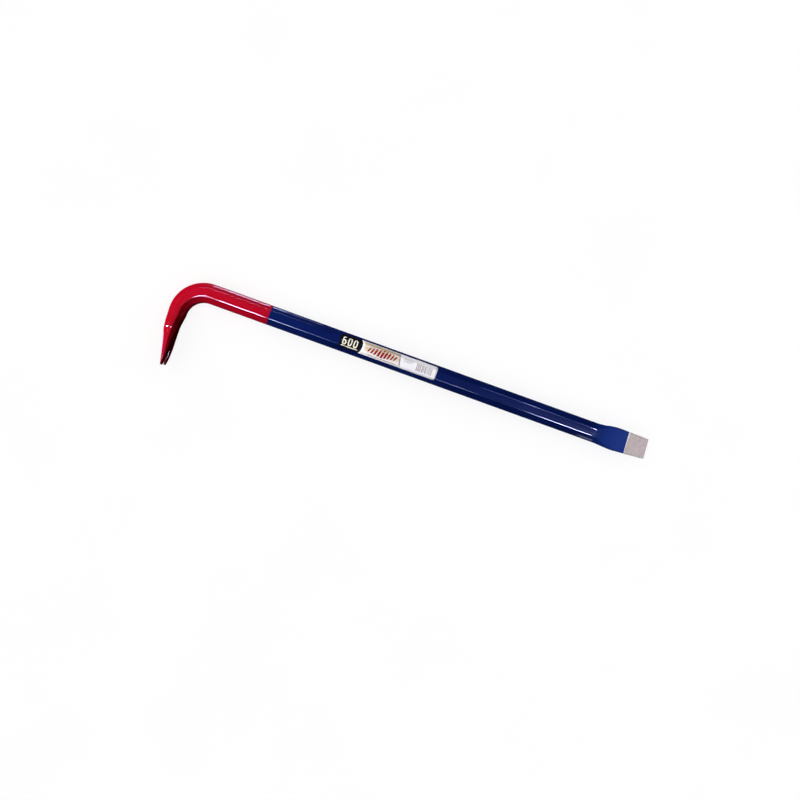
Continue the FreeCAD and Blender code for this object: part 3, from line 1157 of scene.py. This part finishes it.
def backdrop():
    """White surroundings that are seen behind the floor and shed no light."""
    made = bpy.data.worlds.new("surroundings")
    made.use_nodes = True
    made.node_tree.nodes["Background"].inputs["Color"].default_value = (1, 1, 1, 1)
    made.cycles_visibility.diffuse = False
    made.cycles_visibility.glossy = False
    bpy.context.scene.world = made


# Stretches of the shank that mirror a row of lamps in one of its corners: start, end and the lamp's radiance.
CLAW_SIDE_STRETCHES = (
    (-259, -183, 48), (-183, -170, 125), (-170, -152, 64), (-152, -134, 34), (-134, -117, 17),
    (-117, -95, 7), (30, 45, 14), (45, 66, 30), (66, 82, 14), (138, 150, 5), (150, 168, 50), (168, 210, 190),
    (210, 231, 230),
)
FAR_SIDE_STRETCHES = ((90, 142, 8), (142, 158, 46), (158, 185, 12))
FAR_LOW_STRETCHES = ((-520, -385, 12), (-385, -290, 26), (-290, -183, 40), (-183, -165, 45), (-165, -145, 22),
                     (-145, -120, 9))

bpy.context.scene.view_settings.view_transform = "Standard"
camera()
backdrop()
floor()
floor_sun(2.75)
lamp("floor_shade", (0, 0, 3000), (0, 0, 0), (12.0, 12.0), 0.26, FLOOR_ONLY)

# Lamps that light the bar but aren't mirrored in it.
for made in (
    lamp("key", (-800, 60, 750), (-100, 0, 0), (0.5, 0.5), 19.5, BAR_ONLY),
    lamp("blade_fill", (420, 0, 250), (270, 0, 0), (0.15, 0.15), 6.0, BAR_ONLY),
    lamp("fill_above", (0, 0, 2000), (0, 0, 0), (3.0, 3.0), 0.3, BAR_ONLY),
    lamp("fill_below", (0, 0, -2000), (0, 0, 0), (3.0, 3.0), 0.2, BAR_ONLY, blockers=BAR_ONLY),
    lamp("fill_claw_side", (0, -1400, -1400), (0, 0, 0), (2.0, 2.0), 0.9, BAR_ONLY, blockers=BAR_ONLY),
    lamp("fill_far_side", (0, 1400, -1400), (0, 0, 0), (2.0, 2.0), 0.9, BAR_ONLY, blockers=BAR_ONLY),
):
    made.visible_glossy = False
lamp("tip_softbox", (850, -60, 900), (290, 0, 0), (0.9, 0.9), 0.7, STEEL_ONLY)

# Lamps that are only mirrored: in the bend, the mark across the claw's root, the slot's wall, the claw's edge
# and the blade's shoulder, and then, in rows, in the corners of the shank.
for made in (
    lamp("bend_glow", (-264, -146, 220), (-266, -7, 11), (0.065, 0.07), 75, RED_SIDE, COOL),
    gridded(lamp("mark_glint_inner", (-462, 290, 720), (-291, -54, 13), (0.016, 0.1), 260, RED_SIDE, COOL)),
    gridded(lamp("mark_glint_outer", (-524, 290, 720), (-291, -54, 13), (0.016, 0.1), 260, RED_SIDE, COOL)),
    lamp("slot_glow", (-513, -463, 900), (-285, -93, 0), (0.1, 0.028), 13, RED_SIDE, PINK),
    lamp("claw_edge", (-1270, -300, -200), (-290, -65, 0), (0.15, 0.3), 12, RED_SIDE, COOL, BAR_ONLY),
    lamp("shoulder_glint", (515, 190, 970), (229, 4, 12), (0.2, 0.06), 320, BLUE_SIDE, COOL),
    lamp("shoulder_low", (420, -1000, 90), (229, -10, 7), (0.05, 0.05), 3, BLUE_SIDE, COOL),
):
    made.visible_diffuse = False
strip("claw_side", 38, 0.12, CLAW_SIDE_STRETCHES)
strip("far_side", -31, 0.10, FAR_SIDE_STRETCHES)
strip("far_low", -87, 0.035, FAR_LOW_STRETCHES)

red_coat(red_lacquer())
blue_coat(blue_lacquer())
forged_steel(ground_steel())
label(paper())
badge(ink("badge_ink", (0.004, 0.004, 0.005, 1), (0.0022, 0.0022, 0.003, 1), 0.3))
numerals(ink("cream_ink", (0.94, 0.90, 0.76, 1), (0.84, 0.78, 0.62, 1)))
tan_panel(tan_ink())
motif(ink("dark_red_ink", (0.36, 0.006, 0.018, 1), (0.24, 0.004, 0.012, 1)))
small_print(ink("grey_ink", (0.40, 0.38, 0.42, 1), (0.32, 0.30, 0.34, 1)))
stripe_block(ink("brown_grey_ink", (0.34, 0.29, 0.30, 1), (0.26, 0.22, 0.23, 1)))
